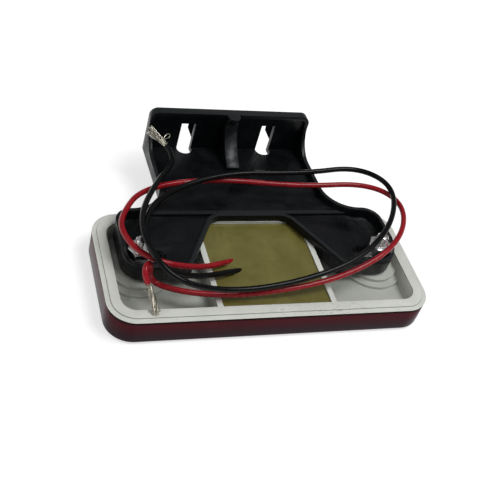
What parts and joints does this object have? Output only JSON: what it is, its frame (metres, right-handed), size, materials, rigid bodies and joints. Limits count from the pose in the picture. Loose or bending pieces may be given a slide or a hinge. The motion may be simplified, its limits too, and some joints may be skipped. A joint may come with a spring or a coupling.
{
  "type": "trailer tail light",
  "caption": "Rectangular red LED trailer lamp seen from its potted back, on a black moulded bracket, with red and black flying leads.",
  "frame": {"origin": "the middle of the lamp-and-bracket footprint, on the plane of the lens face", "axes": "+X along the lamp's long side, +Y from the lamp towards the bracket's upright, +Z from the lens face towards the back of the lamp"},
  "size_m": [0.1102, 0.0884, 0.0281],
  "materials": {
    "lens_red": "gloss",
    "seam_glue": "satin",
    "housing_white": "satin",
    "board": "gloss",
    "led_case": "satin",
    "led_gel": "gloss",
    "resistor_black": "satin",
    "diode_black": "satin",
    "solder": "gloss",
    "tinned_copper": "satin",
    "resin_olive": "gloss",
    "zinc_steel": "satin",
    "bracket_black": "gloss",
    "pvc_red": "gloss",
    "pvc_black": "gloss"
  },
  "bodies": {
    "lamp": {"lens": "lens_red", "seam_adhesive": "seam_glue", "housing": "housing_white", "circuit_board": "board", "leds": "led_case", "led_emitters": "led_gel", "resistors": "resistor_black", "diodes": "diode_black", "solder_joints": "solder", "lead_tails": "tinned_copper", "potting_resin": "resin_olive", "stud_left": "zinc_steel", "stud_right": "zinc_steel", "bracket": "bracket_black", "red_lead": "pvc_red", "black_lead": "pvc_black", "red_lead_strands": "tinned_copper", "black_lead_strands": "tinned_copper", "lock_washer_left": "zinc_steel", "lock_washer_right": "zinc_steel"},
    "left_nut": {"nut_left": "zinc_steel"},
    "right_nut": {"nut_right": "zinc_steel"}
  },
  "joints": [
    {"name": "left_nut_turn", "type": "hinge", "parent": "lamp", "child": "left_nut", "pos_m": [-0.0423, -0.0189, 0.0148], "axis": [0, 0, 1], "range_deg": [0, 360]},
    {"name": "right_nut_turn", "type": "hinge", "parent": "lamp", "child": "right_nut", "pos_m": [0.0423, -0.0189, 0.0148], "axis": [0, 0, 1], "range_deg": [0, 360]}
  ]
}
